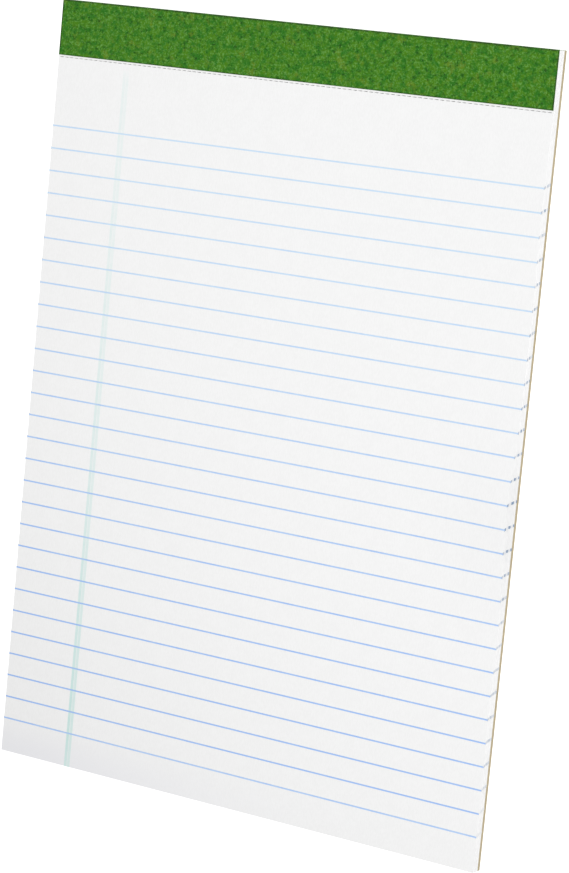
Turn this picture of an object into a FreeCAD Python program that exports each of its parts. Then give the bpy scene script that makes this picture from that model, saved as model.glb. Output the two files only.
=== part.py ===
import FreeCAD, Part
import math
import os
import Sketcher

# A perforated legal pad, lying on its back. Lengths are in millimetres.
# +X runs to the right across the page, +Y up the page to the bound edge, and +Z out of the page.
# The origin is the middle of the face that the pad lies on.

doc = FreeCAD.newDocument("legal_pad")

# Driving dimensions

SIZES = {
    # The leaves and the board behind them
    "sheet_width": 215.9,
    "sheet_length": 298.45,
    "leaf_count": 50,
    "leaf_thickness": 0.076,
    "board_thickness": 1.5,
    # The paper strip that is folded over the bound edge
    "tape_thickness": 0.1,
    "front_flap": 21.2,
    "back_flap": 20.0,
    "flap_bedding": 0.05,
    "fold_radius": 0.4,
    # The row of slits under the front flap
    "perforation_gap": 0.75,
    "slit_length": 1.75,
    "slit_width": 0.22,
    "slit_pitch": 2.29,
    "slit_edge_bridge": 0.5,
    # The stitches of flat wire, hidden under the strip
    "stitch_count": 4,
    "stitch_inset": 9.0,
    "stitch_crown": 12.7,
    "stitch_clinch": 4.5,
    "wire_width": 0.9,
    "wire_thickness": 0.5,
    "wire_bend_radius": 0.6,
    "wire_clearance": 0.05,
    "wire_sink": 0.02,
}

sizes = doc.addObject("Spreadsheet::Sheet", "Sizes")
for row, (size_name, size_value) in enumerate(SIZES.items(), start=1):
    sizes.set(f"A{row}", size_name)
    sizes.set(f"B{row}", str(size_value))
    sizes.setAlias(f"B{row}", size_name)
doc.recompute()

# Places that more than one piece shares, as expressions in the driving dimensions

HALF_LENGTH = "(Sizes.sheet_length + Sizes.tape_thickness) / 2"
FREE_EDGE_Y = f"-({HALF_LENGTH})"
OUTER_FOLD_Y = f"({HALF_LENGTH})"
BOUND_EDGE_Y = f"({OUTER_FOLD_Y} - Sizes.tape_thickness)"
FRONT_FLAP_Y = f"({BOUND_EDGE_Y} - Sizes.front_flap)"
BACK_FLAP_Y = f"({BOUND_EDGE_Y} - Sizes.back_flap)"
PERFORATION_Y = f"({FRONT_FLAP_Y} - Sizes.perforation_gap)"
STITCH_Y = f"({BOUND_EDGE_Y} - Sizes.stitch_inset)"

BACK_Z = "(Sizes.tape_thickness - Sizes.flap_bedding)"
BOARD_TOP_Z = f"({BACK_Z} + Sizes.board_thickness)"
PAGE_Z = f"({BOARD_TOP_Z} + Sizes.leaf_count * Sizes.leaf_thickness)"
FRONT_Z = f"({PAGE_Z} + Sizes.tape_thickness)"

SLIT_RUN = "(Sizes.sheet_width - 2 * Sizes.slit_edge_bridge - Sizes.slit_length)"
SLIT_COUNT = f"(floor({SLIT_RUN} / Sizes.slit_pitch) + 1)"
SLIT_ROW = f"(({SLIT_COUNT} - 1) * Sizes.slit_pitch)"

WIRE_DEPTH = "(Sizes.wire_sink + Sizes.wire_thickness / 2)"
CROWN_Z = f"({PAGE_Z} - {WIRE_DEPTH})"
CLINCH_Z = f"(Sizes.tape_thickness + {WIRE_DEPTH})"
LEG_X = "(Sizes.stitch_crown / 2 - Sizes.wire_thickness / 2)"
CLINCH_TIP_X = "(Sizes.stitch_crown / 2 - Sizes.stitch_clinch)"
STITCH_PITCH = "(Sizes.sheet_width / Sizes.stitch_count)"
FIRST_STITCH_X = f"(-({STITCH_PITCH} * (Sizes.stitch_count - 1) / 2))"

PLACE_TOLERANCE = 1e-4


def value(expression):
    """What an expression comes to, as a plain number."""
    return float(sizes.evalExpression(expression))


# Sketches. A sketch's own origin counts as the start of geometry number -1,
# and the points of a line or an arc are numbered 1 for its start and 2 for its end.

ORIGIN = -1
START, END = 1, 2


def origin_feature(body, role):
    """One of the body's own origin planes or axes."""
    for feature in body.Origin.OriginFeatures:
        if feature.Role == role:
            return feature
    raise ValueError(f"{body.Label} has no {role}")


def add_sketch(body, name, plane, offset):
    """A sketch on one of the body's planes, moved along the plane's normal."""
    sketch = body.newObject("Sketcher::SketchObject", name)
    sketch.AttachmentSupport = [(origin_feature(body, plane), "")]
    sketch.MapMode = "FlatFace"
    sketch.setExpression("AttachmentOffset.Base.z", offset)
    return sketch


def bind(sketch, kind, *references, size):
    """A dimension on a sketch that follows an expression."""
    number = sketch.addConstraint(Sketcher.Constraint(kind, *references, value(size)))
    sketch.setExpression(f"Constraints[{number}]", size)


def place_point(sketch, geometry, point, across, up):
    """Hold a point of a sketch at a place measured from its origin."""
    bind(sketch, "DistanceX", ORIGIN, START, geometry, point, size=across)
    bind(sketch, "DistanceY", ORIGIN, START, geometry, point, size=up)


def draw_outline(sketch, corners):
    """A closed outline of straight lines through the given corners."""
    points = [FreeCAD.Vector(value(across), value(up), 0) for across, up in corners]
    ends = points[1:] + points[:1]
    lines = [sketch.addGeometry(Part.LineSegment(a, b)) for a, b in zip(points, ends)]
    for line, following in zip(lines, lines[1:] + lines[:1]):
        sketch.addConstraint(Sketcher.Constraint("Coincident", line, END, following, START))
    for line, (across, up) in zip(lines, corners):
        place_point(sketch, line, START, across, up)


def draw_wire_path(sketch):
    """The centre line of a clinched wire: the crown, two legs, and two ends turned inwards behind."""
    leg, tip, bend = value(LEG_X), value(CLINCH_TIP_X), value("Sizes.wire_bend_radius")
    low, high = value(CLINCH_Z), value(CROWN_Z)
    runs = [
        ((tip, low), (leg - bend, low)),
        ((leg, low + bend), (leg, high - bend)),
        ((leg - bend, high), (bend - leg, high)),
        ((-leg, high - bend), (-leg, low + bend)),
        ((bend - leg, low), (-tip, low)),
    ]
    lines = []
    for (start_x, start_z), (end_x, end_z) in runs:
        start = FreeCAD.Vector(start_x, start_z, 0)
        end = FreeCAD.Vector(end_x, end_z, 0)
        lines.append(sketch.addGeometry(Part.LineSegment(start, end)))
    for line in (lines[0], lines[2], lines[4]):
        sketch.addConstraint(Sketcher.Constraint("Horizontal", line))
    for line in (lines[1], lines[3]):
        sketch.addConstraint(Sketcher.Constraint("Vertical", line))

    quarter_turn = math.pi / 2
    bend_centres = [(leg - bend, low + bend), (leg - bend, high - bend),
                    (bend - leg, high - bend), (bend - leg, low + bend)]
    for turn, (centre_x, centre_z) in enumerate(bend_centres):
        centre = FreeCAD.Vector(centre_x, centre_z, 0)
        circle = Part.Circle(centre, FreeCAD.Vector(0, 0, 1), bend)
        sweep = Part.ArcOfCircle(circle, (turn - 1) * quarter_turn, turn * quarter_turn)
        arc = sketch.addGeometry(sweep)
        sketch.addConstraint(Sketcher.Constraint("Tangent", lines[turn], END, arc, START))
        sketch.addConstraint(Sketcher.Constraint("Tangent", arc, END, lines[turn + 1], START))
        bind(sketch, "Radius", arc, size="Sizes.wire_bend_radius")

    place_point(sketch, lines[0], START, CLINCH_TIP_X, CLINCH_Z)
    place_point(sketch, lines[4], END, f"-{CLINCH_TIP_X}", CLINCH_Z)
    bind(sketch, "DistanceX", ORIGIN, START, lines[1], START, size=LEG_X)
    bind(sketch, "DistanceX", ORIGIN, START, lines[3], START, size=f"-{LEG_X}")
    bind(sketch, "DistanceY", ORIGIN, START, lines[2], START, size=CROWN_Z)


def draw_wire_section(sketch, clearance):
    """The flat section of the wire, or of its channel with room all round, where the path starts."""
    half_width = f"(Sizes.wire_width / 2 + {clearance})"
    half_thickness = f"(Sizes.wire_thickness / 2 + {clearance})"
    near, far = f"{STITCH_Y} - {half_width}", f"{STITCH_Y} + {half_width}"
    low, high = f"{CLINCH_Z} - {half_thickness}", f"{CLINCH_Z} + {half_thickness}"
    draw_outline(sketch, [(near, low), (far, low), (far, high), (near, high)])


# Features

def new_body(label):
    """An empty body, named after the piece that it holds."""
    body = doc.addObject("PartDesign::Body", label)
    body.Label = label
    return body


def pad_across(body, name, corners):
    """An outline seen from the side, carried across the full width of the pad."""
    sketch = add_sketch(body, f"{name}_section", "YZ_Plane", "0")
    draw_outline(sketch, corners)
    pad = body.newObject("PartDesign::Pad", name)
    pad.Profile = sketch
    pad.SideType = "Symmetric"
    pad.setExpression("Length", "Sizes.sheet_width")
    doc.recompute()
    return pad


def round_edge(body, name, radius, places):
    """Round the edges that run across the pad at the given places of its section."""
    base = body.Tip
    targets = [(value(y), value(z)) for y, z in places]
    names = []
    for number, edge in enumerate(base.Shape.Edges, start=1):
        spots = [vertex.Point for vertex in edge.Vertexes]
        for target_y, target_z in targets:
            off = [abs(spot.y - target_y) + abs(spot.z - target_z) for spot in spots]
            if max(off) < PLACE_TOLERANCE:
                names.append(f"Edge{number}")
    if len(names) != len(targets):
        raise ValueError(f"{name} found {len(names)} edges for {len(targets)} places")
    fillet = body.newObject("PartDesign::Fillet", name)
    fillet.Base = (base, names)
    fillet.setExpression("Radius", radius)
    doc.recompute()


def repeat_across(body, name, original, span, count):
    """Copies of a cut, spread evenly across the pad from the original."""
    pattern = body.newObject("PartDesign::LinearPattern", name)
    pattern.Originals = [original]
    pattern.Direction = (origin_feature(body, "X_Axis"), [""])
    pattern.setExpression("Length", span)
    pattern.setExpression("Occurrences", count)
    body.Tip = pattern
    doc.recompute()


def add_wire_sketches(body, name, clearance, middle_x):
    """The path and the section of one stitch, or of its channel, at its place across the pad."""
    path = add_sketch(body, f"{name}_path", "XZ_Plane", f"-{STITCH_Y}")
    path.setExpression("AttachmentOffset.Base.x", middle_x)
    draw_wire_path(path)
    section = add_sketch(body, f"{name}_section", "YZ_Plane", f"{middle_x} + {CLINCH_TIP_X}")
    draw_wire_section(section, clearance)
    return path, section


def cut_wire_channels(body, name):
    """The channels that the stitches press for themselves, with room all round the wire."""
    path, section = add_wire_sketches(body, name, "Sizes.wire_clearance", FIRST_STITCH_X)
    channel = body.newObject("PartDesign::SubtractivePipe", name)
    channel.Profile = section
    channel.Spine = (path, [""])
    doc.recompute()
    run = f"{STITCH_PITCH} * (Sizes.stitch_count - 1)"
    repeat_across(body, f"{name}_row", channel, run, "Sizes.stitch_count")


# The leaves: one block, pressed round at the fold, slit through near the bound edge

def make_sheets():
    body = new_body("sheets")
    pad_across(body, "leaf_block", [
        (FREE_EDGE_Y, BOARD_TOP_Z),
        (BOUND_EDGE_Y, BOARD_TOP_Z),
        (BOUND_EDGE_Y, PAGE_Z),
        (FREE_EDGE_Y, PAGE_Z),
    ])
    round_edge(body, "pressed_edge", "Sizes.fold_radius", [(BOUND_EDGE_Y, PAGE_Z)])
    cut_wire_channels(body, "sheet_channel")
    cut_perforation(body)
    return body


def cut_perforation(body):
    """The row of slits that each leaf is torn off along."""
    first = f"(-{SLIT_ROW} / 2)"
    left = f"{first} - Sizes.slit_length / 2"
    right = f"{first} + Sizes.slit_length / 2"
    low = f"{PERFORATION_Y} - Sizes.slit_width / 2"
    high = f"{PERFORATION_Y} + Sizes.slit_width / 2"
    sketch = add_sketch(body, "first_slit_outline", "XY_Plane", PAGE_Z)
    draw_outline(sketch, [(left, low), (right, low), (right, high), (left, high)])
    slit = body.newObject("PartDesign::Pocket", "first_slit")
    slit.Profile = sketch
    slit.Type = "ThroughAll"
    doc.recompute()
    repeat_across(body, "perforation", slit, SLIT_ROW, SLIT_COUNT)


# The chipboard: stepped where the back flap beds into it, pressed round at the fold

def make_backing_board():
    body = new_body("backing_board")
    pad_across(body, "board_blank", [
        (FREE_EDGE_Y, BACK_Z),
        (BACK_FLAP_Y, BACK_Z),
        (BACK_FLAP_Y, "Sizes.tape_thickness"),
        (BOUND_EDGE_Y, "Sizes.tape_thickness"),
        (BOUND_EDGE_Y, BOARD_TOP_Z),
        (FREE_EDGE_Y, BOARD_TOP_Z),
    ])
    round_edge(body, "pressed_edge", "Sizes.fold_radius", [(BOUND_EDGE_Y, "Sizes.tape_thickness")])
    cut_wire_channels(body, "board_channel")
    return body


# The binding strip: a front flap, the fold over the bound edge, and a back flap

def make_binding_tape():
    body = new_body("binding_tape")
    inner_front = (BOUND_EDGE_Y, PAGE_Z)
    inner_back = (BOUND_EDGE_Y, "Sizes.tape_thickness")
    outer_front = (OUTER_FOLD_Y, FRONT_Z)
    outer_back = (OUTER_FOLD_Y, "0")
    pad_across(body, "folded_strip", [
        outer_back,
        outer_front,
        (FRONT_FLAP_Y, FRONT_Z),
        (FRONT_FLAP_Y, PAGE_Z),
        inner_front,
        inner_back,
        (BACK_FLAP_Y, "Sizes.tape_thickness"),
        (BACK_FLAP_Y, "0"),
    ])
    round_edge(body, "inner_folds", "Sizes.fold_radius", [inner_front, inner_back])
    outer_radius = "Sizes.fold_radius + Sizes.tape_thickness"
    round_edge(body, "outer_folds", outer_radius, [outer_front, outer_back])
    return body


# The wire stitches: driven from the front, their ends clinched inwards behind the board

def make_stitch(number):
    body = new_body(f"stitch_{number}")
    path, section = add_wire_sketches(body, "wire", "0", "0")
    wire = body.newObject("PartDesign::AdditivePipe", "wire")
    wire.Profile = section
    wire.Spine = (path, [""])
    place = f"{FIRST_STITCH_X} + {STITCH_PITCH} * {number - 1}"
    body.setExpression("Placement.Base.x", place)
    doc.recompute()
    return body


pieces = [make_sheets(), make_backing_board(), make_binding_tape()]
for stitch_number in range(1, int(value("Sizes.stitch_count")) + 1):
    pieces.append(make_stitch(stitch_number))
doc.recompute()

# Checks on the finished document, then one file for each piece

for item in doc.Objects:
    if "Invalid" in item.State or "Error" in item.State:
        raise RuntimeError(f"{item.Label} failed: {item.State}")
    if item.isDerivedFrom("Sketcher::SketchObject") and not item.FullyConstrained:
        raise RuntimeError(f"{item.Label} isn't fully constrained")
for piece in pieces:
    if piece.Shape.isNull() or not piece.Shape.isValid():
        raise RuntimeError(f"{piece.Label} has no valid shape")
    if len(piece.Shape.Solids) != 1:
        raise RuntimeError(f"{piece.Label} holds {len(piece.Shape.Solids)} solids")

os.makedirs("parts", exist_ok=True)
for piece in pieces:
    piece.Shape.exportStep(f"parts/{piece.Label}.step")
    box = piece.Shape.BoundBox
    print(f"{piece.Label}: {piece.Shape.Volume:.3f} mm3, "
          f"{box.XLength:.3f} x {box.YLength:.3f} x {box.ZLength:.3f} mm, from z {box.ZMin:.3f}")
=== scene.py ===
import math
import random

import bmesh
import bpy
from bpy.props import FloatProperty, FloatVectorProperty, IntProperty, PointerProperty
from mathutils import Matrix, Vector


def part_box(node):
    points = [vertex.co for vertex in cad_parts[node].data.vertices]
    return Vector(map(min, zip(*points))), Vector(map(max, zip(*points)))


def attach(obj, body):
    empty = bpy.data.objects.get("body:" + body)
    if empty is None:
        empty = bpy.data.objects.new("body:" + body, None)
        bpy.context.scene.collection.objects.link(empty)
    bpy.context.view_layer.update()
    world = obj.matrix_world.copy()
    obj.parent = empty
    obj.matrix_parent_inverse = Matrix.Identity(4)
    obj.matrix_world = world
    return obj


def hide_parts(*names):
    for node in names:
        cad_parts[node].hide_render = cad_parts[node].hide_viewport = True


# A ruled writing pad, lying on its board. Lengths are in metres.
# +X runs to the right across the page, +Y up the page to the bound edge, and +Z out of the page.

bl_info = {
    "name": "Legal pad",
    "version": (1, 0, 0),
    "blender": (4, 5, 0),
    "location": "3D View > Sidebar > Legal pad",
    "description": "Loose leaves, printed ruling and finishes for the legal pad's solids",
    "category": "Add Mesh",
}

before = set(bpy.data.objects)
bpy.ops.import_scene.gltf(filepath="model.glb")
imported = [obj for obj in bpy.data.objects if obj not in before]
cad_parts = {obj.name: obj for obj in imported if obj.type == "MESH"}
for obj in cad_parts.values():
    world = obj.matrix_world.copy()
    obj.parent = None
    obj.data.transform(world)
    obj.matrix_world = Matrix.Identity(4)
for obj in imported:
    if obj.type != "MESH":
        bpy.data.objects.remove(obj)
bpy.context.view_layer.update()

MM = 0.001

# Places that the solids give

SHEETS_LOW, SHEETS_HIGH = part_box("sheets")
TAPE_LOW, TAPE_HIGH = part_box("binding_tape")
STITCH_NAMES = sorted(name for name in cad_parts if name.startswith("stitch_"))

LEFT_EDGE, RIGHT_EDGE = SHEETS_LOW.x, SHEETS_HIGH.x
FREE_EDGE, BOUND_EDGE = SHEETS_LOW.y, SHEETS_HIGH.y
PAGE_Z, STACK_FLOOR = SHEETS_HIGH.z, SHEETS_LOW.z
FLAP_EDGE = TAPE_LOW.y

# Sharper turns than this stay edges
SMOOTH_ANGLE = math.radians(30)


def screen(red, green, blue):
    """A colour as a screen shows it, from 0 to 255 a channel, as a shader's linear numbers."""
    linear = []
    for level in (red, green, blue):
        part = level / 255
        linear.append(part / 12.92 if part <= 0.04045 else ((part + 0.055) / 1.055) ** 2.4)
    return tuple(linear)


# The sizes and colours that a user would change


def length(name, default_mm, description):
    """A length setting, whose default is given in millimetres."""
    return FloatProperty(name=name, description=description, default=default_mm * MM,
                         subtype="DISTANCE", unit="LENGTH", precision=5)


def colour(name, red, green, blue, description):
    """A colour setting, whose default is given as a screen shows it."""
    return FloatVectorProperty(name=name, description=description, size=3, subtype="COLOR",
                               min=0.0, max=1.0, default=screen(red, green, blue))


class LeafSettings(bpy.types.PropertyGroup):
    """The loose leaves"""
    leaf_count: IntProperty(name="Leaves", description="How many loose leaves the pad holds",
                            default=50, min=2)
    air: length("Air", 0.006, "The hair of air that is left between two leaves")
    wander: length("Wander", 0.05, "How far a leaf may lie off its place")
    slit_length: length("Slit length", 1.75, "Length of one slit of the perforation")
    slit_width: length("Slit width", 0.22, "Width of one slit of the perforation")
    slit_pitch: length("Slit pitch", 2.29, "From one slit of the perforation to the next")
    slit_bridge: length("Slit bridge", 0.5, "The least paper between the last slit and the leaf's side")
    slit_gap: length("Slit row", 0.75, "From the front flap's edge to the middle of the slits")
    wire_thickness: length("Wire thickness", 0.5, "Thickness of the stitches' flat wire")
    wire_room: length("Room for the wire", 0.05, "Clearance round the wire where it pierces the leaves")
    fold_radius: length("Fold radius", 0.4, "How round the stack's top corner is pressed")
    edge_lift: length("Edge lift", 1.9, "How far the leaves stand up where they are most ruffled")
    edge_slide: length("Edge slide", 0.75, "How far the top leaf has slid inwards there")


class PrintSettings(bpy.types.PropertyGroup):
    """The ruling and the margin rule"""
    line_count: IntProperty(name="Lines", description="How many blue lines a page has", default=28, min=1)
    first_line: length("First line", 48.6, "From the bound edge of the page to the first line")
    line_pitch: length("Line pitch", 8.757, "From one line to the next")
    line_width: length("Line width", 0.56, "Width of a printed line")
    margin_place: length("Margin", 32.4, "From the left edge to the middle of the double margin rule")
    margin_split: length("Margin split", 1.45, "From one line of the margin rule to the other")
    margin_width: length("Margin line width", 1.25, "Width of one line of the margin rule")
    margin_start: length("Margin start", 24.5, "From the bound edge of the page to the margin rule's top")
    ink_height: length("Ink height", 0.015, "How far the ink stands above the paper")
    edge_lean: length("Edge lean", 1.35, "How far the lines' ends drift from the top leaf to the last")
    edge_bleed: length("Edge bleed", 0.20, "How far the ink spreads each way on the leaves' cut edges")


class ColourSettings(bpy.types.PropertyGroup):
    """The colours of the materials"""
    paper: colour("Paper", 247, 247, 247, "The leaves")
    paper_shade: colour("Paper shade", 244, 244, 244, "The cloudier parts of the leaves")
    # Painted shade: the leaves' lower left corner towards the free edge is drawn in this darker colour.
    paper_painted_shade: colour("Paper, worn end", 240, 240, 243, "The leaves' lower left corner, a little handled")
    blue_top: colour("Blue, upper lines", 203, 226, 246, "The first lines, where the ink is thin")
    blue_low: colour("Blue, lower lines", 156, 190, 244, "The lower lines, where the ink is full")
    blue_edge: colour("Blue, cut edges", 130, 155, 184, "The ink gathered on the leaves' cut edges")
    aqua_top: colour("Aqua, top", 236, 243, 242, "The margin rule where it starts")
    aqua_low: colour("Aqua, bottom", 202, 231, 227, "The margin rule at the free edge")
    green_warm: colour("Binding green", 68, 122, 4, "The yellower parts of the binding strip")
    green_cool: colour("Binding cool green", 36, 107, 12, "The cooler parts of the strip")
    green_deep: colour("Binding deep green", 20, 66, 2, "The pits between the strip's fibres")
    green_light: colour("Binding light green", 106, 163, 80, "The flecks and fibres of the strip")
    green_tan: colour("Binding tan", 122, 136, 36, "Scattered tan blotches in the strip")
    # Painted shade along the strip's fold uses this colour, and so do the plain darker bands at the flap's
    # edge and the cut ends.
    green_fold_shade_and_edge: colour("Binding edge", 36, 72, 12, "The strip's face next to its folds and cuts")
    green_cut: colour("Binding cut ends", 196, 208, 184, "The paler body of the strip, where it is cut")
    board: colour("Board", 184, 172, 146, "The chipboard's face")
    board_edge: colour("Board edge", 190, 176, 143, "The chipboard where it is cut")
    board_dark: colour("Board, dark fibres", 130, 116, 92, "Dark fibres and specks in the chipboard")
    board_light: colour("Board, light fibres", 206, 196, 172, "Light fibres in the chipboard")
    wire: colour("Wire", 200, 200, 198, "The stitching wire")
    floor: colour("Floor", 241, 241, 241, "The floor's own colour")


class StageSettings(bpy.types.PropertyGroup):
    """The camera and the light"""
    azimuth: FloatProperty(name="Azimuth", description="The camera's direction round the pad",
                           default=math.radians(105.583), subtype="ANGLE", unit="ROTATION")
    elevation: FloatProperty(name="Elevation", description="The camera's height over the page",
                             default=math.radians(57.508), subtype="ANGLE", unit="ROTATION")
    roll: FloatProperty(name="Roll", description="The camera's turn about its own line of sight",
                        default=math.radians(-97.799), subtype="ANGLE", unit="ROTATION")
    distance: length("Distance", 1153.03, "From the camera to the page")
    lens: FloatProperty(name="Lens", description="Focal length on a 36 mm sensor, in millimetres",
                        default=127.36, subtype="DISTANCE_CAMERA")
    key_power: FloatProperty(name="Key light", description="Power of the soft key light, in watts",
                             default=1290.0, subtype="POWER", unit="POWER")
    key_plateau: length("Key plateau", 270, "How far from the lamp's aim its light is full")
    key_reach: length("Key reach", 678, "How far from the lamp's aim its light ends")
    sky_strength: FloatProperty(name="Room light", description="Strength of the even light all round",
                                default=0.57)


# Modelling by hand, in small steps


def drop_selection():
    """Nothing selected, in object mode."""
    if bpy.context.object and bpy.context.object.mode != "OBJECT":
        bpy.ops.object.mode_set(mode="OBJECT")
    bpy.ops.object.select_all(action="DESELECT")


def take(*pieces):
    """Only these pieces selected, with the first one active."""
    drop_selection()
    for piece in pieces:
        piece.select_set(True)
    bpy.context.view_layer.objects.active = pieces[0]


def add_rectangle(name, low, high, height):
    """A flat sheet between two corners, at a height, facing up."""
    drop_selection()
    middle = ((low[0] + high[0]) / 2, (low[1] + high[1]) / 2, height)
    bpy.ops.mesh.primitive_plane_add(size=1, location=middle)
    piece = bpy.context.object
    piece.name = piece.data.name = name
    piece.scale = (high[0] - low[0], high[1] - low[1], 1)
    bpy.ops.object.transform_apply(location=True, rotation=True, scale=True)
    return piece


def pick_faces(piece, wanted):
    """In edit mode, select the faces whose middle passes a test, and say how many."""
    mesh = bmesh.from_edit_mesh(piece.data)
    found = 0
    for face in mesh.faces:
        chosen = wanted(face.calc_center_median())
        face.select_set(chosen)
        found += chosen
    mesh.select_flush_mode()
    bmesh.update_edit_mesh(piece.data)
    return found


def open_for_cutting(piece):
    """The piece in edit mode, ready for faces to be selected."""
    take(piece)
    bpy.ops.object.mode_set(mode="EDIT")
    bpy.ops.mesh.select_mode(type="FACE")


def cut_through(x=None, y=None):
    """In edit mode, cut the selected faces along one line of the page."""
    place = (x or 0.0, y or 0.0, 0.0)
    direction = (0, 1, 0) if x is None else (1, 0, 0)
    bpy.ops.mesh.bisect(plane_co=place, plane_no=direction)


def cut_grid(piece, across, along):
    """Cut a sheet right through at the given places across and along the page."""
    open_for_cutting(piece)
    for place in across:
        bpy.ops.mesh.select_all(action="SELECT")
        cut_through(x=place)
    for place in along:
        bpy.ops.mesh.select_all(action="SELECT")
        cut_through(y=place)
    bpy.ops.object.mode_set(mode="OBJECT")


def punch_row(piece, near, far, spans):
    """Punch a row of rectangular openings, each between its own two places across the page."""
    cut_grid(piece, [], [near, far])
    open_for_cutting(piece)
    for span in spans:
        for place in span:
            pick_faces(piece, lambda at: near < at.y < far)
            cut_through(x=place)
    inside = pick_faces(piece, lambda at: near < at.y < far
                        and any(low < at.x < high for low, high in spans))
    if inside < len(spans):
        raise RuntimeError(f"{piece.name}: {inside} openings for {len(spans)} places")
    bpy.ops.mesh.delete(type="FACE")
    bpy.ops.object.mode_set(mode="OBJECT")


def copy_of(piece, name, shift):
    """A copy with its own mesh, moved from the original."""
    take(piece)
    bpy.ops.object.duplicate(linked=False)
    copy = bpy.context.object
    copy.name = copy.data.name = name
    bpy.ops.transform.translate(value=shift)
    bpy.ops.object.transform_apply(location=True, rotation=True, scale=True)
    return copy


def join(name, pieces):
    """Several pieces made one object."""
    take(*pieces)
    bpy.ops.object.join()
    whole = bpy.context.object
    whole.name = whole.data.name = name
    return whole


def repeat(piece, count, step):
    """Copies of a piece in a row, by the array modifier."""
    take(piece)
    row = piece.modifiers.new("row", "ARRAY")
    row.count = count
    row.use_relative_offset = False
    row.use_constant_offset = True
    row.constant_offset_displace = step
    bpy.ops.object.modifier_apply(modifier=row.name)


def thicken(piece, thickness, upwards):
    """Give a sheet its thickness, above or below where it lies."""
    take(piece)
    wall = piece.modifiers.new("thickness", "SOLIDIFY")
    wall.thickness = thickness
    wall.offset = 1.0 if upwards else -1.0
    bpy.ops.object.modifier_apply(modifier=wall.name)


def finish_piece(piece, slot, *nodes):
    """Smooth a piece between its edges, hang it on the root body and hide the solids it stands for; the
    slot is not used.
    """
    take(piece)
    bpy.ops.object.shade_smooth_by_angle(angle=SMOOTH_ANGLE)
    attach(piece, "root")
    if nodes:
        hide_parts(*nodes)


# The ruffle of the leaves: a cage round the stack whose right side is pulled up and in

# How many points the cage has across and along the page
CAGE_ACROSS, CAGE_ALONG = 13, 28
# How far the ruffle reaches in from the right edge, and in how many steps a sheet is divided there
RUFFLE_REACH = 42 * MM
BEND_STEPS = 6
# Each ruffle: its place along the page, its spread, and its shares of the lift and of the slide
RUFFLES = [
    (92 * MM, 14 * MM, 0.10, 0.65),
    (-18 * MM, 26 * MM, 1.00, 1.00),
    (-90 * MM, 16 * MM, 0.05, 0.60),
]


def ruffle_shares(y):
    """The shares of the lift and of the slide at a place along the page's right edge."""
    lift = slide = 0.0
    for middle, spread, lift_share, slide_share in RUFFLES:
        swell = math.exp(-((y - middle) / spread) ** 2)
        lift += lift_share * swell
        slide += slide_share * swell
    return lift, slide


def add_cage():
    """A lattice round the stack, with its upper right points pulled up and in."""
    sizes = bpy.context.scene.pad_leaves
    drop_selection()
    middle = ((LEFT_EDGE + RIGHT_EDGE) / 2, (FREE_EDGE + BOUND_EDGE) / 2, (STACK_FLOOR + PAGE_Z) / 2)
    bpy.ops.object.add(type="LATTICE", location=middle)
    cage = bpy.context.object
    cage.name = "ruffle_cage"
    cage.scale = (RIGHT_EDGE - LEFT_EDGE, BOUND_EDGE - FREE_EDGE, PAGE_Z - STACK_FLOOR)
    lattice = cage.data
    lattice.points_u, lattice.points_v, lattice.points_w = CAGE_ACROSS, CAGE_ALONG, 2
    for axis in ("u", "v", "w"):
        setattr(lattice, f"interpolation_type_{axis}", "KEY_CATMULL_ROM")
    bpy.context.view_layer.update()
    for point in lattice.points:
        spot = cage.matrix_world @ point.co
        if point.co.z < 0 or spot.x < RIGHT_EDGE - RUFFLE_REACH or spot.y > FLAP_EDGE:
            continue
        nearness = 1 - (RIGHT_EDGE - spot.x) / RUFFLE_REACH
        lift, slide = ruffle_shares(spot.y)
        spot.z += sizes.edge_lift * lift * nearness ** 2
        spot.x -= sizes.edge_slide * slide * nearness
        point.co_deform = cage.matrix_world.inverted() @ spot
    return cage


def ruffle(piece):
    """Bend a flat piece with the cage."""
    cage = bpy.data.objects.get("ruffle_cage") or add_cage()
    take(piece)
    bend = piece.modifiers.new("ruffle", "LATTICE")
    bend.object = cage
    bpy.ops.object.modifier_apply(modifier=bend.name)


# The leaves

# Where the random draws for the leaves' places start
LEAF_SEED = 11
# What lies this near to a leaf's bound edge is part of it
END_BAND = 0.01 * MM


def line_places():
    """Where the ruling crosses the page, from the top line down."""
    ink = bpy.context.scene.pad_print
    return [BOUND_EDGE - ink.first_line - number * ink.line_pitch for number in range(ink.line_count)]


def bend_places():
    """Where a sheet is divided across: evenly over the part that bends."""
    start = RIGHT_EDGE - RUFFLE_REACH
    return [start + RUFFLE_REACH * step / BEND_STEPS for step in range(BEND_STEPS)]


def slit_spans():
    """The two ends of each slit of the perforation, centred on the page."""
    sizes = bpy.context.scene.pad_leaves
    run = RIGHT_EDGE - LEFT_EDGE - 2 * sizes.slit_bridge - sizes.slit_length
    count = math.floor(run / sizes.slit_pitch) + 1
    first = -(count - 1) * sizes.slit_pitch / 2
    half = sizes.slit_length / 2
    middles = [first + number * sizes.slit_pitch for number in range(count)]
    return [(middle - half, middle + half) for middle in middles]


def cut_leaf():
    """One flat leaf, divided at the ruling and slit along the perforation."""
    sizes = bpy.context.scene.pad_leaves
    leaf = add_rectangle("leaf", (LEFT_EDGE, FREE_EDGE), (RIGHT_EDGE, BOUND_EDGE), PAGE_Z)
    cut_grid(leaf, bend_places(), line_places())
    row = FLAP_EDGE - sizes.slit_gap
    half = sizes.slit_width / 2
    punch_row(leaf, row - half, row + half, slit_spans())
    return leaf


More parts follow.
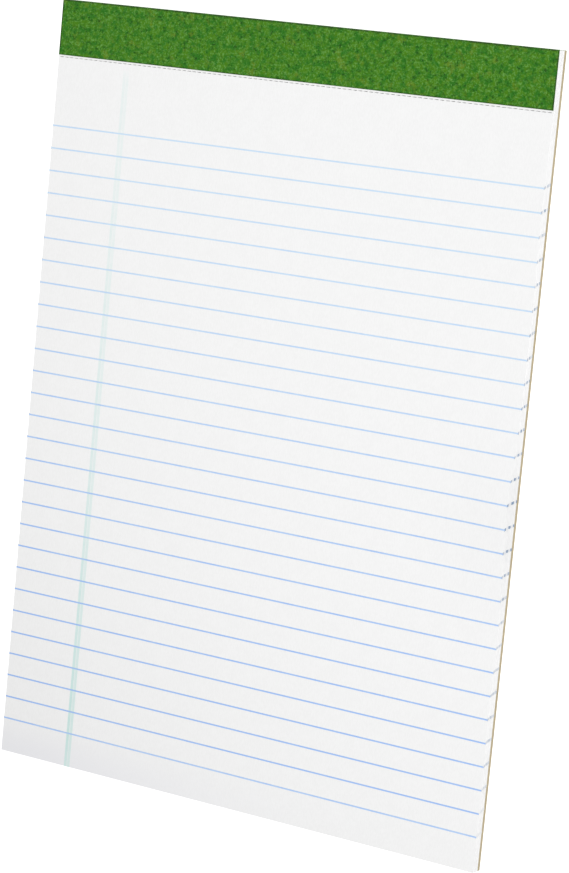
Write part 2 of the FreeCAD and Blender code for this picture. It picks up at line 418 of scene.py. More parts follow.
def punch_for_wire(leaf, whole_crown):
    """Openings for the stitches: their whole crowns in the uppermost leaves, and their legs below."""
    sizes = bpy.context.scene.pad_leaves
    spans = []
    for name in STITCH_NAMES:
        low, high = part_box(name)
        outer_left, outer_right = low.x - sizes.wire_room, high.x + sizes.wire_room
        leg = sizes.wire_thickness + 2 * sizes.wire_room
        if whole_crown:
            spans.append((outer_left, outer_right))
        else:
            spans.append((outer_left, outer_left + leg))
            spans.append((outer_right - leg, outer_right))
    low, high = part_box(STITCH_NAMES[0])
    punch_row(leaf, low.y - sizes.wire_room, high.y + sizes.wire_room, spans)


def press_end(leaf, height):
    """Draw in the bound edge of a leaf that lies within the rounding of the fold."""
    radius = bpy.context.scene.pad_leaves.fold_radius
    rise = height - (PAGE_Z - radius)
    if rise <= 0:
        return
    draw_in = radius - math.sqrt(max(radius ** 2 - rise ** 2, 0.0))
    open_for_cutting(leaf)
    bpy.ops.mesh.select_mode(type="VERT")
    mesh = bmesh.from_edit_mesh(leaf.data)
    end = max(vertex.co.y for vertex in mesh.verts)
    for vertex in mesh.verts:
        vertex.select_set(vertex.co.y > end - END_BAND)
    mesh.select_flush_mode()
    bmesh.update_edit_mesh(leaf.data)
    bpy.ops.transform.translate(value=(0, -draw_in, 0))
    bpy.ops.object.mode_set(mode="OBJECT")


def leaf_pitch():
    """From the top of one leaf to the top of the next."""
    return (PAGE_Z - STACK_FLOOR) / bpy.context.scene.pad_leaves.leaf_count


def make_leaves():
    """The top leaf, and all the loose leaves under it as one piece."""
    sizes = bpy.context.scene.pad_leaves
    pitch = leaf_pitch()
    chance = random.Random(LEAF_SEED)
    crown_depth = sizes.wire_thickness + 2 * sizes.wire_room
    plain = cut_leaf()
    deep = copy_of(plain, "deep_leaf", (0, 0, 0))
    punch_for_wire(plain, whole_crown=True)
    punch_for_wire(deep, whole_crown=False)

    lower = []
    for number in range(1, sizes.leaf_count):
        depth = number * pitch
        pattern = plain if depth < crown_depth else deep
        shift = (chance.uniform(-1, 1) * sizes.wander, -chance.random() * sizes.wander, -depth)
        leaf = copy_of(pattern, f"leaf_{number}", shift)
        press_end(leaf, PAGE_Z - depth)
        lower.append(leaf)
    press_end(plain, PAGE_Z)
    bpy.data.objects.remove(deep)

    stack = join("leaf_stack", lower)
    plain.name = plain.data.name = "top_leaf"
    for piece in (stack, plain):
        ruffle(piece)
        thicken(piece, pitch - sizes.air, upwards=False)
        finish_piece(piece, "sheets", "sheets")
    return plain, stack


# The print: thin closed strips of ink on the top leaf, and specks of it on the leaves' cut edges

# On the strips' maps: the rim kept free at both ends of a run, how far a strip's sides lie from the
# middle of its row, and how far its top is set off
MAP_RIM, MAP_SIDE, MAP_LIFT = 0.01, 0.3, 0.08
# How far a speck reaches into its leaf from the cut edge, and how far it stands out
SPECK_REACH, SPECK_PROUD = 0.2 * MM, 0.012 * MM
# How far the line ends of one leaf stray from the drift, and where the random draws for it start
SPECK_STRAY = 0.05 * MM
SPECK_SEED = 5
# The four corners of a speck in its cell of the map, with a rim kept free
SPECK_CELL = ((0.2, 0.2), (0.8, 0.2), (0.8, 0.8), (0.2, 0.8))
# The drift grows with the depth to this power, so it is quickest near the top
DRIFT_POWER = 0.7


def along_map(share):
    """A strip's run on its map, for a share of its length."""
    return MAP_RIM + (1 - 2 * MAP_RIM) * share


def lay_out_strips(piece, strips, strip_of, place_of):
    """A map on which each strip of ink has its own row: strip_of tells the row, place_of the run."""
    layer = piece.data.uv_layers.new(name="OFBake")
    ink = bpy.context.scene.pad_print
    for face in piece.data.polygons:
        for corner in face.loop_indices:
            spot = piece.data.vertices[piece.data.loops[corner].vertex_index].co
            row, side = strip_of(spot)
            lift = min(max((spot.z - PAGE_Z) / ink.ink_height, -1), 1)
            height = row + 0.5 + MAP_SIDE * side + MAP_LIFT * lift
            layer.uv[corner].vector = (place_of(spot), height / strips)


def nearest_line(y):
    """The number of the nearest ruling line, and how far off its middle a place is, in half widths."""
    ink = bpy.context.scene.pad_print
    number = round((BOUND_EDGE - ink.first_line - y) / ink.line_pitch)
    number = min(max(number, 0), ink.line_count - 1)
    middle = BOUND_EDGE - ink.first_line - number * ink.line_pitch
    return number, (y - middle) / (ink.line_width / 2)


def make_ruling():
    """The blue lines, edge to edge."""
    ink = bpy.context.scene.pad_print
    first = line_places()[0]
    half = ink.line_width / 2
    sunk = ink.ink_height / 3
    strip = add_rectangle("ruling", (LEFT_EDGE, first - half), (RIGHT_EDGE, first + half), PAGE_Z - sunk)
    cut_grid(strip, bend_places(), [first])
    repeat(strip, ink.line_count, (0, -ink.line_pitch, 0))
    ruffle(strip)
    thicken(strip, ink.ink_height + sunk, upwards=True)
    width = RIGHT_EDGE - LEFT_EDGE
    lay_out_strips(strip, ink.line_count, lambda spot: nearest_line(spot.y),
                   lambda spot: along_map((spot.x - LEFT_EDGE) / width))
    strip.data.materials.append(blue_ink())
    finish_piece(strip, "sheets")


def make_margin_rule():
    """The two pale lines down the left of the page."""
    ink = bpy.context.scene.pad_print
    middle = LEFT_EDGE + ink.margin_place
    half = ink.margin_width / 2
    left = middle - ink.margin_split / 2
    top = BOUND_EDGE - ink.margin_start
    height = PAGE_Z - ink.ink_height / 2
    strip = add_rectangle("margin_rule", (left - half, FREE_EDGE), (left + half, top), height)
    cut_grid(strip, [left], [])
    repeat(strip, 2, (ink.margin_split, 0, 0))
    thicken(strip, ink.ink_height, upwards=True)

    def side_of(spot):
        number = 0 if spot.x < middle else 1
        line = left + number * ink.margin_split
        return number, (spot.x - line) / half

    run = top - FREE_EDGE
    lay_out_strips(strip, 2, side_of, lambda spot: along_map((top - spot.y) / run))
    strip.data.materials.append(aqua_ink())
    finish_piece(strip, "sheets")


def edge_drift(leaf):
    """How far the lines of one leaf, counted from the top, have drifted towards the bound edge."""
    last = bpy.context.scene.pad_leaves.leaf_count - 1
    return bpy.context.scene.pad_print.edge_lean * (leaf / last) ** DRIFT_POWER


def make_edge_ink():
    """The ends of the printed lines, on the cut edges of all the leaves."""
    sizes, ink = bpy.context.scene.pad_leaves, bpy.context.scene.pad_print
    chance = random.Random(SPECK_SEED)
    pitch = leaf_pitch()
    half = ink.line_width / 2 + ink.edge_bleed
    first = line_places()[0]
    rows = []
    for edge, outwards in ((LEFT_EDGE, -1), (RIGHT_EDGE, 1)):
        inner = edge - outwards * SPECK_REACH
        outer = edge + outwards * (SPECK_PROUD + sizes.wander)
        low_x, high_x = min(inner, outer), max(inner, outer)
        speck = add_rectangle("speck", (low_x, first - half), (high_x, first + half), PAGE_Z)
        repeat(speck, ink.line_count, (0, -ink.line_pitch, 0))
        for number in range(sizes.leaf_count):
            drift = edge_drift(number) + chance.gauss(0, SPECK_STRAY) * (number > 0)
            rows.append(copy_of(speck, f"specks_{number}", (0, drift, -number * pitch)))
        bpy.data.objects.remove(speck)
    specks = join("edge_ink", rows)

    spots = [vertex.co.copy() for vertex in specks.data.vertices]
    layer = specks.data.uv_layers["UVMap"]
    for face in specks.data.polygons:
        middle = sum((spots[index] for index in face.vertices), Vector()) / len(face.vertices)
        leaf = round((PAGE_Z - middle.z) / pitch)
        line, _ = nearest_line(middle.y - edge_drift(leaf))
        for (across, down), corner in zip(SPECK_CELL, face.loop_indices):
            layer.uv[corner].vector = ((line + across) / ink.line_count, (leaf + down) / sizes.leaf_count)
    layer.name = "OFBake"
    ruffle(specks)
    thicken(specks, pitch - sizes.air / 2, upwards=False)
    specks.data.materials.append(edge_ink_finish())
    finish_piece(specks, "sheets")


# Node materials

# The strip's dark rims, painted shade along the fold and plain darker bands at the flap's edge and the cut
# ends: how far each reaches from its edge, and how far it is full
CREASE_REACH, CREASE_FULL = 0.9 * MM, 0.35 * MM
CREASE_DROP, CREASE_DROP_FULL = 1.4 * MM, 0.5 * MM
LIP_REACH, LIP_FULL = 0.55 * MM, 0.2 * MM
END_REACH, END_FULL = 0.85 * MM, 0.35 * MM
# What lies this near to its side is on the cut face, for the strip and for the board
TAPE_CUT, BOARD_CUT = 0.005 * MM, 0.02 * MM


class Nodes:
    """The node tree of a material or of the world, put together one node at a time."""

    def __init__(self, owner):
        owner.use_nodes = True
        self.owner = owner
        self.tree = owner.node_tree

    def add(self, kind, **inputs):
        """A node, with values or other nodes' sockets on its inputs, and settings on itself."""
        node = self.tree.nodes.new(kind)
        for key, given in inputs.items():
            if key.startswith("set_"):
                setattr(node, key[4:], given)
        for key, given in inputs.items():
            if key.startswith("set_"):
                continue
            name = int(key[3:]) if key.startswith("in_") else key.replace("_", " ")
            self.plug(node.inputs[name], given)
        return node

    def plug(self, socket, given):
        """Link a socket to another one, or set its value."""
        if isinstance(given, bpy.types.NodeSocket):
            self.tree.links.new(given, socket)
        elif isinstance(given, (tuple, list)) and len(given) == 3 and socket.type == "RGBA":
            socket.default_value = (*given, 1.0)
        else:
            socket.default_value = given

    def place(self):
        """The piece's own coordinates, in metres."""
        return self.add("ShaderNodeTexCoord").outputs["Object"]

    def own_map(self):
        """The coordinates of the piece's own map."""
        return self.add("ShaderNodeUVMap", set_uv_map="OFBake").outputs["UV"]

    def turned(self, vector, scale, angle=0.0):
        """A pattern's coordinates, stretched by a scale and turned about the page's normal."""
        node = self.add("ShaderNodeMapping", Vector=vector)
        node.inputs["Rotation"].default_value = (0, 0, angle)
        node.inputs["Scale"].default_value = scale
        return node.outputs["Vector"]

    def noise(self, vector, scale, detail=2.0, roughness=0.5):
        """A cloudy pattern from 0 to 1. The scale tells how many clouds lie in a metre, or on a map."""
        node = self.add("ShaderNodeTexNoise", Vector=vector, Scale=scale, Detail=detail,
                        Roughness=roughness)
        return node.outputs["Fac"]

    def bent(self, vector, scale, amount):
        """Coordinates pushed about by a noise, so that what reads them wanders."""
        clouds = self.add("ShaderNodeTexNoise", Vector=vector, Scale=scale, Detail=2.0).outputs["Color"]
        centred = self.add("ShaderNodeVectorMath", set_operation="SUBTRACT", in_0=clouds,
                           in_1=(0.5, 0.5, 0.5)).outputs[0]
        push = self.add("ShaderNodeVectorMath", set_operation="SCALE", in_0=centred,
                        Scale=amount).outputs[0]
        return self.add("ShaderNodeVectorMath", set_operation="ADD", in_0=vector, in_1=push).outputs[0]

    def between(self, value, low, high, start=0.0, end=1.0):
        """A value that runs smoothly from start to end while the input runs from low to high."""
        node = self.add("ShaderNodeMapRange", set_interpolation_type="SMOOTHSTEP", Value=value)
        for name, given in (("From Min", low), ("From Max", high), ("To Min", start), ("To Max", end)):
            node.inputs[name].default_value = given
        return node.outputs["Result"]

    def maths(self, operation, first, second=None):
        """The outcome of an operation on one value or two."""
        node = self.add("ShaderNodeMath", set_operation=operation, in_0=first)
        if second is not None:
            self.plug(node.inputs[1], second)
        return node.outputs[0]

    def blend(self, share, first, second):
        """The first colour, giving way to the second as the share goes from 0 to 1."""
        node = self.add("ShaderNodeMix", set_data_type="RGBA", in_0=share, in_6=first, in_7=second)
        return node.outputs[2]

    def split(self, vector):
        """A vector's three numbers, each on its own."""
        return self.add("ShaderNodeSeparateXYZ", Vector=vector).outputs

    def bump(self, height, distance, strength):
        """A surface that looks raised where the height is large."""
        node = self.add("ShaderNodeBump", Height=height)
        node.inputs["Distance"].default_value = distance
        node.inputs["Strength"].default_value = strength
        return node.outputs["Normal"]

    def surface(self, colour, roughness, normal=None, **constants):
        """The material, with its colour, roughness, relief and constants on the shader."""
        shader = self.tree.nodes["Principled BSDF"]
        self.plug(shader.inputs["Base Color"], colour)
        self.plug(shader.inputs["Roughness"], roughness)
        if normal is not None:
            self.plug(shader.inputs["Normal"], normal)
        for name, given in constants.items():
            shader.inputs[name.replace("_", " ")].default_value = given
        return self.owner


def new_finish(name):
    """The nodes of a new material."""
    return Nodes(bpy.data.materials.new(name))


def paper_finish(name):
    """Smooth uncoated paper: faint clouds where the fibres lie thicker, fine fibres and a matt tooth, and
    painted shade darkening the lower left corner towards the free edge.
    """
    shades = bpy.context.scene.pad_colours
    nodes = new_finish(name)
    place = nodes.place()
    clouds = nodes.noise(place, 160, detail=3)
    fibres = nodes.noise(nodes.turned(place, (1, 0.25, 1), 0.5), 2600, detail=2)
    crossed = nodes.noise(nodes.turned(place, (1, 0.25, 1), -0.9), 2200, detail=2)
    weave = nodes.maths("MULTIPLY", nodes.maths("ADD", fibres, crossed), 0.5)
    cloud_share = 0.2
    mottle = nodes.maths("ADD", nodes.maths("MULTIPLY", clouds, cloud_share),
                         nodes.maths("MULTIPLY", weave, 1 - cloud_share))
    share = nodes.between(mottle, 0.42, 0.58)
    colour_out = nodes.blend(share, tuple(shades.paper_shade), tuple(shades.paper))
    # Painted shade: the leaves are drawn darker towards the free edge at the lower left corner.
    across, along, _ = nodes.split(place)
    painted_shade_reach = 16 * MM
    painted_shade = nodes.maths("MULTIPLY", nodes.between(along, FREE_EDGE + painted_shade_reach, FREE_EDGE),
                       nodes.between(across, RIGHT_EDGE / 2, LEFT_EDGE))
    colour_out = nodes.blend(painted_shade, colour_out, tuple(shades.paper_painted_shade))
    roughness = nodes.between(weave, 0.35, 0.65, 0.78, 0.9)
    tooth = nodes.bump(weave, 0.01 * MM, 0.35)
    return nodes.surface(colour_out, roughness, tooth, Specular_IOR_Level=0.25)


def ink_surface(nodes, colour_out):
    """Dry ink of a colour, dull and finely grained."""
    grain = nodes.noise(nodes.place(), 3000, detail=2)
    return nodes.surface(colour_out, nodes.between(grain, 0.3, 0.7, 0.65, 0.8),
                         nodes.bump(grain, 0.004 * MM, 0.3), Specular_IOR_Level=0.25)


def blue_ink():
    """Blue ruling ink: thin on the first lines, full on the lower ones, a little uneven along each."""
    shades = bpy.context.scene.pad_colours
    nodes = new_finish("blue_ink")
    own = nodes.own_map()
    across, down, _ = nodes.split(own)
    full = nodes.between(down, 0.0, 0.95)
    last_line = nodes.between(down, 0.95, 0.985, 0.0, 0.35)
    full = nodes.maths("SUBTRACT", full, last_line)
    left_end = nodes.between(across, 0.14, 0.04, 0.0, 0.15)
    full = nodes.maths("ADD", full, left_end)
    along = nodes.noise(nodes.turned(own, (60, 28, 1)), 1.0, detail=3)
    full = nodes.maths("ADD", full, nodes.between(along, 0.3, 0.7, -0.12, 0.12))
    colour_out = nodes.blend(full, tuple(shades.blue_top), tuple(shades.blue_low))
    return ink_surface(nodes, colour_out)


def aqua_ink():
    """Pale aqua margin ink, fuller towards the free edge and paler on the right line."""
    shades = bpy.context.scene.pad_colours
    nodes = new_finish("aqua_ink")
    own = nodes.own_map()
    down, across, _ = nodes.split(own)
    along = nodes.noise(nodes.turned(own, (80, 2, 1)), 1.0, detail=3)
    uneven = nodes.between(along, 0.3, 0.7, -0.1, 0.1)
    full = nodes.maths("ADD", nodes.maths("POWER", down, 1.6), uneven)
    full = nodes.maths("SUBTRACT", full, nodes.between(down, 0.93, 0.99, 0.0, 0.25))
    colour_out = nodes.blend(full, tuple(shades.aqua_top), tuple(shades.aqua_low))
    right_line = nodes.between(across, 0.45, 0.55, 0.0, 0.22)
    colour_out = nodes.blend(right_line, colour_out, tuple(shades.paper))
    start = nodes.between(down, 0.0, 0.03)
    colour_out = nodes.blend(start, tuple(shades.paper), colour_out)
    return ink_surface(nodes, colour_out)


def edge_ink_finish():
    """Ink on the cut edges: in batches at the upper lines, evener and paler at the lower ones."""
    shades = bpy.context.scene.pad_colours
    nodes = new_finish("edge_ink")
    own = nodes.own_map()
    line, leaf, _ = nodes.split(own)
    shift = nodes.noise(nodes.turned(own, (9, 0.4, 1)), 1.0, detail=1)
    place = nodes.maths("ADD", leaf, nodes.between(shift, 0.3, 0.7, -0.07, 0.07))
    batches = 2.1
    wave = nodes.maths("COSINE", nodes.maths("MULTIPLY", place, 2 * math.pi * batches))
    dotted_until, even_from = 0.56, 0.7
    dotted = nodes.maths("MULTIPLY", nodes.between(wave, -0.7, 0.4, 0.12, 1.0),
                         nodes.between(line, even_from, dotted_until))
    even = nodes.maths("MULTIPLY", nodes.between(wave, -0.7, 0.4, 0.34, 0.52),
                       nodes.between(line, dotted_until, even_from))
    share = nodes.maths("ADD", dotted, even)
    patchiness = nodes.noise(nodes.turned(own, (23, 7, 1)), 1.0, detail=1)
    share = nodes.maths("MULTIPLY", share, nodes.between(patchiness, 0.35, 0.6, 0.55, 1.0))
    strength = nodes.maths("MULTIPLY", nodes.between(line, 0.0, 0.6, 0.75, 1.0),
                           nodes.between(line, 0.9, 0.97, 1.0, 0.25))
    colour_out = nodes.blend(nodes.maths("MULTIPLY", share, strength), tuple(shades.paper),
                             tuple(shades.blue_edge))
    return nodes.surface(colour_out, nodes.between(patchiness, 0.3, 0.7, 0.7, 0.85), Specular_IOR_Level=0.2)


def tape_finish():
    """Green mottled binding paper: warm and cool greens, short fibres, pits, flecks, painted shade along
    the fold, and darker bands at the flap's edge and the cut ends.
    """
    shades = bpy.context.scene.pad_colours
    nodes = new_finish("mottled_green_paper")
    place = nodes.place()
    wander = nodes.bent(place, 600, 1.2 * MM)

    patches = nodes.noise(place, 380, detail=4, roughness=0.6)
    thick = nodes.between(patches, 0.38, 0.6)
    base = nodes.blend(thick, tuple(shades.green_cool), tuple(shades.green_warm))
    blotches = nodes.between(nodes.noise(wander, 240, detail=3), 0.58, 0.72, 0.0, 0.38)
    base = nodes.blend(blotches, base, tuple(shades.green_tan))

    contour = nodes.maths("SUBTRACT", nodes.noise(wander, 900, detail=2, roughness=0.6), 0.5)
    offset = nodes.maths("ABSOLUTE", contour)
    fibres = nodes.between(offset, 0.08, 0.01)
    broken = nodes.between(nodes.noise(place, 1100, detail=2), 0.42, 0.62)
    light = nodes.maths("MULTIPLY", nodes.maths("MULTIPLY", fibres, broken),
                        nodes.between(patches, 0.36, 0.58, 0.25, 1.0))
    flecks = nodes.between(nodes.noise(place, 1500, detail=1), 0.64, 0.72)
    light = nodes.maths("MAXIMUM", light, nodes.maths("MULTIPLY", flecks, 0.8))
    pits = nodes.between(nodes.noise(wander, 1000, detail=3, roughness=0.65), 0.48, 0.34)
    pits = nodes.maths("MULTIPLY", pits, nodes.between(patches, 0.36, 0.58, 1.0, 0.45))
    fibred = nodes.blend(nodes.maths("MULTIPLY", light, 0.85), base, tuple(shades.green_light))
    mottled = nodes.blend(nodes.maths("MULTIPLY", pits, 0.9), fibred, tuple(shades.green_deep))

    across, along, up = nodes.split(place)
    # Painted shade along the top fold, and darker bands at the flap's lower edge and at the cut ends,
    # blended in in patches.
    fold_shade = nodes.maths("MULTIPLY",
                         nodes.between(along, TAPE_HIGH.y - CREASE_REACH, TAPE_HIGH.y - CREASE_FULL),
                         nodes.between(up, TAPE_HIGH.z - CREASE_DROP, TAPE_HIGH.z - CREASE_DROP_FULL))
    lip = nodes.between(along, FLAP_EDGE + LIP_REACH, FLAP_EDGE + LIP_FULL)
    reach = nodes.maths("ABSOLUTE", across)
    ends = nodes.between(reach, RIGHT_EDGE - END_REACH, RIGHT_EDGE - END_FULL)
    rim = nodes.maths("MAXIMUM", nodes.maths("MAXIMUM", fold_shade, lip), ends)
    patchiness = nodes.between(nodes.noise(place, 420, detail=3, roughness=0.6), 0.4, 0.58, 0.35, 1.0)
    colour_out = nodes.blend(nodes.maths("MULTIPLY", rim, patchiness), mottled, tuple(shades.green_fold_shade_and_edge))
    cut = nodes.maths("GREATER_THAN", reach, RIGHT_EDGE - TAPE_CUT)
    colour_out = nodes.blend(cut, colour_out, tuple(shades.green_cut))

    emboss = nodes.maths("SUBTRACT", nodes.maths("MULTIPLY", light, 0.6), pits)
    normal = nodes.bump(emboss, 0.02 * MM, 0.4)
    roughness = nodes.between(emboss, -0.8, 0.6, 0.72, 0.55)
    return nodes.surface(colour_out, roughness, normal, Specular_IOR_Level=0.2)


def board_finish():
    """Raw chipboard: pale tan pulp with dark and light fibres, and its plies on the cut edge."""
    shades = bpy.context.scene.pad_colours
    nodes = new_finish("chipboard")
    place = nodes.place()
    wander = nodes.bent(place, 250, 4 * MM)
    pulp = nodes.noise(place, 300, detail=5, roughness=0.65)
    pale_pulp = nodes.between(pulp, 0.35, 0.7, 0.0, 0.5)
    base = nodes.blend(pale_pulp, tuple(shades.board), tuple(shades.board_light))
    dark = light = 0.0
    for angle in (0.2, 1.1, -0.7):
        lane = nodes.turned(wander, (1, 0.12, 1), angle)
        strand = nodes.between(nodes.noise(lane, 900, detail=2), 0.64, 0.72)
        pale = nodes.between(nodes.noise(lane, 760, detail=2), 0.66, 0.75)
        dark = nodes.maths("MAXIMUM", dark, strand)
        light = nodes.maths("MAXIMUM", light, pale)
    specks = nodes.between(nodes.noise(place, 1400, detail=1), 0.72, 0.78)
    dark = nodes.maths("MAXIMUM", nodes.maths("MULTIPLY", dark, 0.55), specks)
    colour_out = nodes.blend(nodes.maths("MULTIPLY", light, 0.5), base, tuple(shades.board_light))
    colour_out = nodes.blend(dark, colour_out, tuple(shades.board_dark))
    plies = nodes.noise(nodes.turned(place, (1, 1, 30)), 260, detail=2)
    across, along, _ = nodes.split(place)
    reach = nodes.maths("ABSOLUTE", across)
    cut = nodes.maths("MAXIMUM", nodes.maths("GREATER_THAN", reach, RIGHT_EDGE - BOARD_CUT),
                      nodes.maths("LESS_THAN", along, FREE_EDGE + BOARD_CUT))
    cut = nodes.maths("MULTIPLY", cut, nodes.between(plies, 0.3, 0.7, 0.45, 0.95))
    colour_out = nodes.blend(cut, colour_out, tuple(shades.board_edge))
    rough = nodes.maths("ADD", pulp, nodes.maths("MULTIPLY", dark, 0.3))
    return nodes.surface(colour_out, nodes.between(pulp, 0.3, 0.7, 0.85, 0.96),
                         nodes.bump(rough, 0.06 * MM, 0.5), Specular_IOR_Level=0.15)


def wire_finish():
    """Bright stitching wire, with faint draw lines along it."""
    shades = bpy.context.scene.pad_colours
    nodes = new_finish("stitching_wire")
    place = nodes.place()
    lines = nodes.noise(nodes.turned(place, (0.05, 1, 1)), 9000, detail=2)
    dull = nodes.noise(place, 1200, detail=3)
    dulling = 0.8
    dim = tuple(dulling * channel for channel in shades.wire)
    colour_out = nodes.blend(nodes.between(dull, 0.35, 0.65), dim, tuple(shades.wire))
    return nodes.surface(colour_out, nodes.between(lines, 0.3, 0.7, 0.25, 0.45),
                         nodes.bump(lines, 0.002 * MM, 0.4), Metallic=1.0)


# The stage

# How wide and long the floor is
STAGE_SPAN = 6.0
# How far the floor lies under the pad, and how far it runs in under it
FLOOR_DROP = 0.02 * MM
FLOOR_TUCK = 0.3 * MM
# What the floor adds to its own brightness where it is looked at
FLOOR_GLOW = 0.50
# Where the key lamp points, where it hangs from there, and its radius
KEY_AIM = Vector((277, 174, 0)) * MM
KEY_OFFSET = Vector((3.8, 0.9, 6.9))
KEY_RADIUS = 0.12
# Where the camera points, its sensor's width in millimetres, and how near and far it sees
CAMERA_AIM = Vector((10.42 * MM, -3.45 * MM, PAGE_Z))
CAMERA_SENSOR = 36.0
CAMERA_NEAR, CAMERA_FAR = 0.05, 20.0


def seen_directly(nodes):
    """1 for what the camera sees, also by a mirror or glass, and 0 for light that lands on the pad."""
    path = nodes.add("ShaderNodeLightPath").outputs
    seen = nodes.maths("MAXIMUM", path["Is Camera Ray"], path["Is Glossy Ray"])
    return nodes.maths("MAXIMUM", seen, path["Is Transmission Ray"])


def floor_finish():
    """A pale floor that looks white but keeps the pad's shadow, and is clear from below."""
    shades = bpy.context.scene.pad_colours
    nodes = new_finish("floor")
    tree = nodes.tree
    tree.nodes.remove(tree.nodes["Principled BSDF"])
    matt = nodes.add("ShaderNodeBsdfDiffuse", Color=tuple(shades.floor))
    glow = nodes.add("ShaderNodeEmission", Color=(1.0, 1.0, 1.0),
                     Strength=nodes.maths("MULTIPLY", seen_directly(nodes), FLOOR_GLOW))
    lit = nodes.add("ShaderNodeAddShader", in_0=matt.outputs[0], in_1=glow.outputs[0])
    clear = nodes.add("ShaderNodeBsdfTransparent")
    back = nodes.add("ShaderNodeNewGeometry").outputs["Backfacing"]
    surface = nodes.add("ShaderNodeMixShader", in_0=back, in_1=lit.outputs[0], in_2=clear.outputs[0])
    tree.links.new(surface.outputs[0], tree.nodes["Material Output"].inputs["Surface"])
    return nodes.owner


def add_floor():
    """The floor, open under the pad so that light reaches the pad's back when it is seen from below."""
    half = STAGE_SPAN / 2
    floor = add_rectangle("floor", (-half, -half), (half, half), -FLOOR_DROP)
    across = (LEFT_EDGE + FLOOR_TUCK, RIGHT_EDGE - FLOOR_TUCK)
    punch_row(floor, FREE_EDGE + FLOOR_TUCK, BOUND_EDGE - FLOOR_TUCK, [across])
    floor.data.materials.append(floor_finish())


def light_room():
    """An even white room: plain light on the pad, and pure white where the camera sees past the floor."""
    settings = bpy.context.scene.pad_stage
    world = bpy.data.worlds.new("room")
    bpy.context.scene.world = world
    nodes = Nodes(world)
    background = nodes.tree.nodes["Background"]
    background.inputs["Color"].default_value = (1.0, 1.0, 1.0, 1.0)
    level = nodes.between(seen_directly(nodes), 0.0, 1.0, settings.sky_strength, 1.0)
    nodes.plug(background.inputs["Strength"], level)


def aim(lamp, target):
    """Turn a lamp towards a point."""
    lamp.rotation_euler = (target - lamp.location).to_track_quat("-Z", "Y").to_euler()


def add_key_light():
    """A soft spot lamp to the upper right, whose light thins out towards the pad's lower left corner."""
    settings = bpy.context.scene.pad_stage
    drop_selection()
    bpy.ops.object.light_add(type="SPOT", location=KEY_AIM + KEY_OFFSET)
    lamp = bpy.context.object
    lamp.name = "key_light"
    lamp.data.energy = settings.key_power
    lamp.data.shadow_soft_size = KEY_RADIUS
    lamp.data.spot_size = 2 * math.atan(settings.key_reach / KEY_OFFSET.length)
    lamp.data.spot_blend = 1 - (settings.key_plateau / settings.key_reach) ** 2
    aim(lamp, KEY_AIM)


def add_camera():
    """The camera, at the photographed angle."""
    settings = bpy.context.scene.pad_stage
    drop_selection()
    bpy.ops.object.camera_add()
    camera = bpy.context.object
    camera.name = "camera"
    turn = (Matrix.Rotation(settings.azimuth, 3, "Z")
            @ Matrix.Rotation(math.pi / 2 - settings.elevation, 3, "X")
            @ Matrix.Rotation(settings.roll, 3, "Z"))
    camera.rotation_euler = turn.to_euler()
    camera.location = CAMERA_AIM + turn @ Vector((0, 0, settings.distance))
    camera.data.sensor_fit = "AUTO"
    camera.data.sensor_width = CAMERA_SENSOR
    camera.data.lens = settings.lens
    camera.data.clip_start = CAMERA_NEAR
    camera.data.clip_end = CAMERA_FAR
    bpy.context.scene.camera = camera


# One operator for each group of pieces


class PAD_OT_leaves(bpy.types.Operator):
    """Cut, stack and ruffle the loose leaves"""
    bl_idname = "legal_pad.leaves"
    bl_label = "Leaves"

    def execute(self, context):
        top, stack = make_leaves()
        top.data.materials.append(paper_finish("page_paper"))
        stack.data.materials.append(paper_finish("leaf_paper"))
        return {"FINISHED"}


class PAD_OT_ruling(bpy.types.Operator):
    """Print the blue ruling"""
    bl_idname = "legal_pad.ruling"
    bl_label = "Ruling"

    def execute(self, context):
        make_ruling()
        return {"FINISHED"}


class PAD_OT_margin_rule(bpy.types.Operator):
    """Print the double margin rule"""
    bl_idname = "legal_pad.margin_rule"
    bl_label = "Margin rule"

    def execute(self, context):
        make_margin_rule()
        return {"FINISHED"}


class PAD_OT_edge_ink(bpy.types.Operator):
    """Put the line ends on the leaves' cut edges"""
    bl_idname = "legal_pad.edge_ink"
    bl_label = "Edge ink"

    def execute(self, context):
        make_edge_ink()
        return {"FINISHED"}


def dress(node, material):
    """Give a solid's object one finish."""
    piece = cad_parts[node]
    piece.data.materials.clear()
    piece.data.materials.append(material)


class PAD_OT_binding(bpy.types.Operator):
    """Finish the binding strip and the stitches under it"""
    bl_idname = "legal_pad.binding"
    bl_label = "Binding"

    def execute(self, context):
        dress("binding_tape", tape_finish())
        wire = wire_finish()
        for name in STITCH_NAMES:
            dress(name, wire)
        return {"FINISHED"}


class PAD_OT_board(bpy.types.Operator):
    """Finish the backing board"""
    bl_idname = "legal_pad.board"
    bl_label = "Backing board"

    def execute(self, context):
        dress("backing_board", board_finish())
        return {"FINISHED"}


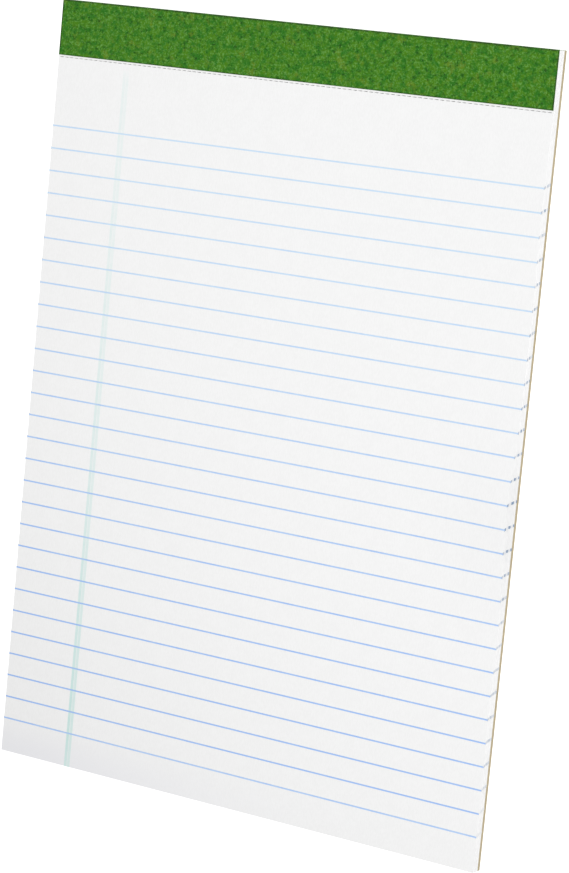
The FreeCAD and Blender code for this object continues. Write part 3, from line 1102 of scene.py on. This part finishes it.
class PAD_OT_stage(bpy.types.Operator):
    """Set the floor, the light and the camera"""
    bl_idname = "legal_pad.stage"
    bl_label = "Stage"

    def execute(self, context):
        context.scene.view_settings.view_transform = "Standard"
        add_floor()
        light_room()
        add_key_light()
        add_camera()
        return {"FINISHED"}


PIECE_OPERATORS = (PAD_OT_leaves, PAD_OT_ruling, PAD_OT_margin_rule, PAD_OT_edge_ink,
                   PAD_OT_binding, PAD_OT_board, PAD_OT_stage)


class PAD_PT_panel(bpy.types.Panel):
    """The legal pad's operators and settings"""
    bl_idname = "PAD_PT_panel"
    bl_label = "Legal pad"
    bl_space_type = "VIEW_3D"
    bl_region_type = "UI"
    bl_category = "Legal pad"

    def draw(self, context):
        column = self.layout.column()
        for operator in PIECE_OPERATORS:
            column.operator(operator.bl_idname)
        for name in SETTINGS:
            group = getattr(context.scene, name)
            box = self.layout.box()
            for setting in group.bl_rna.properties:
                if setting.identifier not in ("rna_type", "name"):
                    box.prop(group, setting.identifier)


SETTINGS = {
    "pad_leaves": LeafSettings,
    "pad_print": PrintSettings,
    "pad_colours": ColourSettings,
    "pad_stage": StageSettings,
}
CLASSES = (*SETTINGS.values(), *PIECE_OPERATORS, PAD_PT_panel)


def register():
    """Tell Blender the operators, the panel and the settings."""
    for item in CLASSES:
        bpy.utils.register_class(item)
    for name, group in SETTINGS.items():
        setattr(bpy.types.Scene, name, PointerProperty(type=group))


def unregister():
    """Take them out again."""
    for name in SETTINGS:
        delattr(bpy.types.Scene, name)
    for item in reversed(CLASSES):
        bpy.utils.unregister_class(item)


def main():
    """Build the pad's own pieces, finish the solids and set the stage."""
    register()
    bpy.ops.legal_pad.leaves()
    bpy.ops.legal_pad.ruling()
    bpy.ops.legal_pad.margin_rule()
    bpy.ops.legal_pad.edge_ink()
    bpy.ops.legal_pad.binding()
    bpy.ops.legal_pad.board()
    bpy.ops.legal_pad.stage()
    bpy.data.objects.remove(bpy.data.objects["ruffle_cage"])


if __name__ == "__main__":
    main()
